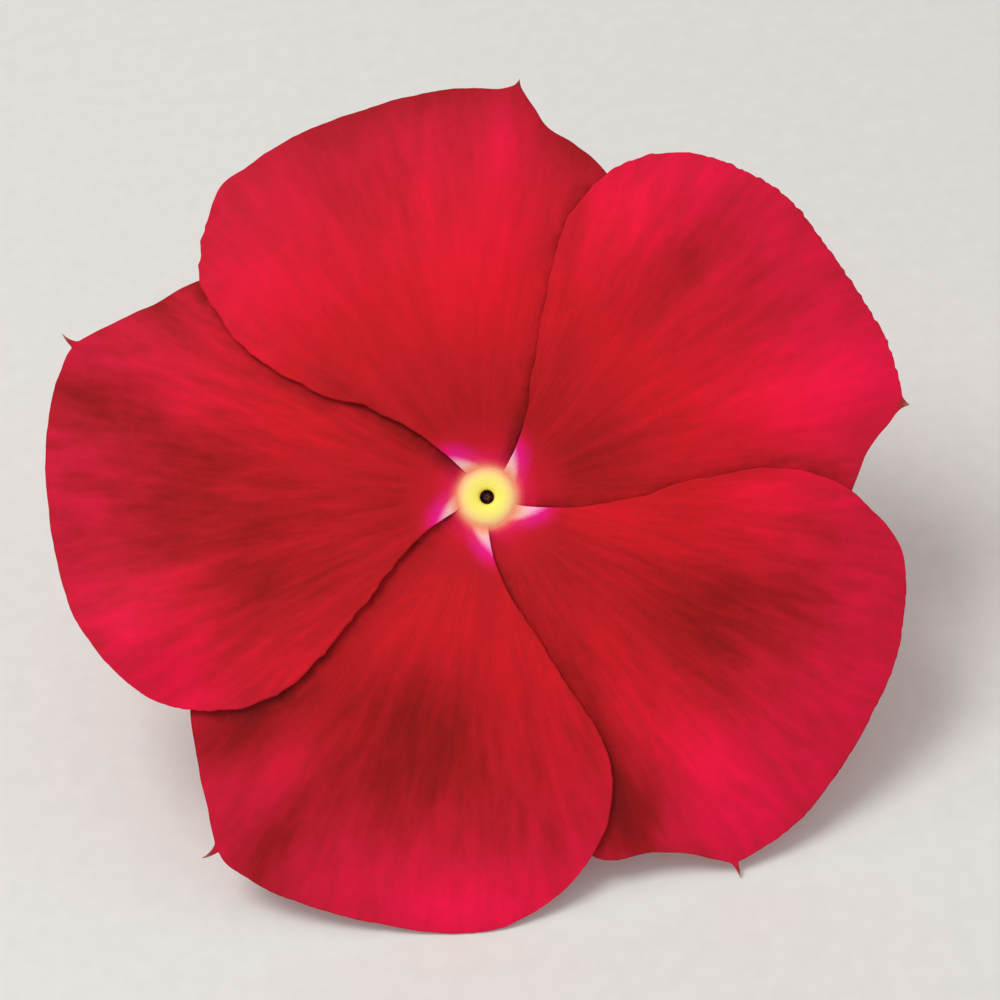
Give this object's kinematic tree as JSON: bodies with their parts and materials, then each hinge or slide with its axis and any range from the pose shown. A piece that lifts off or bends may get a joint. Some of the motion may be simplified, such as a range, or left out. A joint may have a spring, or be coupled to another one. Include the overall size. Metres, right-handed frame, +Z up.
{
  "type": "vinca flower",
  "caption": "Picked red vinca bloom with broad petals overlapping in a pinwheel round a small yellow eye, a slender tube behind, a green calyx and a short cut stalk, lying on its petal rims.",
  "frame": {"origin": "centre of the footprint of the lying flower, on the surface it rests on", "axes": "+X along the widest span of the petals, +Z up; the flower's face looks towards -Y and up, and its stalk points towards +Y and down"},
  "size_m": [0.0558, 0.0386, 0.038],
  "materials": {
    "petal": "velvety matte petal skin, crimson with a magenta flush towards the eye and the rim",
    "throat": "matte petal skin, lemon yellow eye over a pale greenish tube",
    "calyx": "soft satin green leaf skin",
    "stalk": "smooth satin green stalk, cut square",
    "anther": "dry matte cream",
    "pistil": "satin pale green"
  },
  "bodies": {
    "root": {"petal_right": "petal", "petal_top": "petal", "petal_left": "petal", "petal_bottom": "petal", "petal_lower_right": "petal", "corolla_tube": "throat", "pedicel": "stalk", "pistil": "pistil", "sepal_1": "calyx", "sepal_2": "calyx", "sepal_3": "calyx", "sepal_4": "calyx", "sepal_5": "calyx", "stamen_1": "anther", "stamen_2": "anther", "stamen_3": "anther", "stamen_4": "anther", "stamen_5": "anther"}
  },
  "joints": []
}
